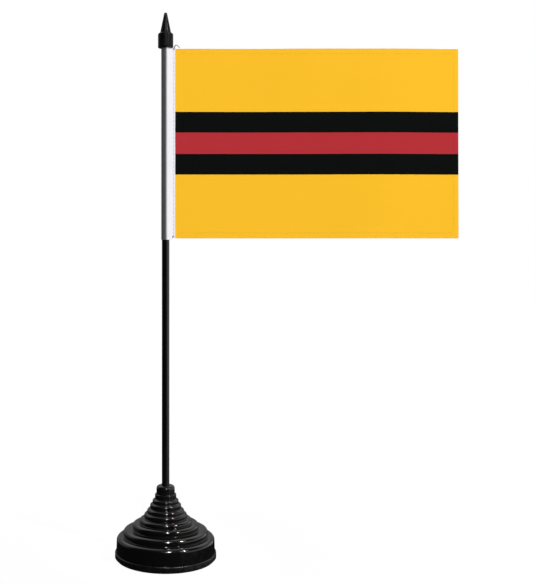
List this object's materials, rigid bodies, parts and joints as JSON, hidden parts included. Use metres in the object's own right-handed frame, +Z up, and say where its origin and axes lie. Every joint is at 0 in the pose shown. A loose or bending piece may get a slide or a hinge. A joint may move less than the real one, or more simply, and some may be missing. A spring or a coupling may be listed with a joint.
{
  "type": "desk flag stand",
  "caption": "Desk flag stand: a small striped flag whose hoist sleeve slips over a thin black pole, with a spear finial and a weighted stepped round base.",
  "frame": {"origin": "centre of the base's flat underside, on the pole's axis", "axes": "+Z up along the pole, +X from the pole towards the flag's fly, +Y square to the flag"},
  "size_m": [0.1817, 0.0534, 0.2883],
  "materials": {
    "base_black": "gloss",
    "plate_black": "satin",
    "ballast_steel": "satin",
    "pole_black": "gloss",
    "finial_black": "satin",
    "tape_white": "matte",
    "cloth_print": "matte",
    "thread_grey": "matte",
    "thread_yellow": "matte"
  },
  "bodies": {
    "base": {"base_shell": "base_black", "base_plate": "plate_black", "ballast_ring": "ballast_steel"},
    "pole": {"pole": "pole_black"},
    "finial": {"finial": "finial_black"},
    "sleeve": {"pole_sleeve": "tape_white"},
    "hoist": {"hoist_tape": "tape_white", "hoist_seam_thread": "thread_grey", "top_tack_thread": "thread_grey", "bottom_tack_thread": "thread_grey"},
    "flag": {"flag_cloth": "cloth_print", "top_hem_thread": "thread_yellow", "bottom_hem_thread": "thread_yellow", "fly_hem_thread": "thread_yellow"}
  },
  "joints": [
    {"name": "pole_lift", "type": "slide", "parent": "base", "child": "pole", "axis": [0, 0, 1], "range_m": [0, 0.031]},
    {"name": "finial_pull", "type": "slide", "parent": "pole", "child": "finial", "axis": [0, 0, 1], "range_m": [0, 0.008]},
    {"name": "flag_slide", "type": "slide", "parent": "pole", "child": "sleeve", "axis": [0, 0, 1], "range_m": [-0.1295, 0]},
    {"name": "flag_swing", "type": "hinge", "parent": "sleeve", "child": "hoist", "pos_m": [0, 0, 0.22], "axis": [0, 0, 1], "continuous": true},
    {"name": "flag_fold", "type": "hinge", "parent": "hoist", "child": "flag", "pos_m": [0.0053, 0, 0.22], "axis": [0, 0, 1], "range_deg": [-110, 110]}
  ]
}
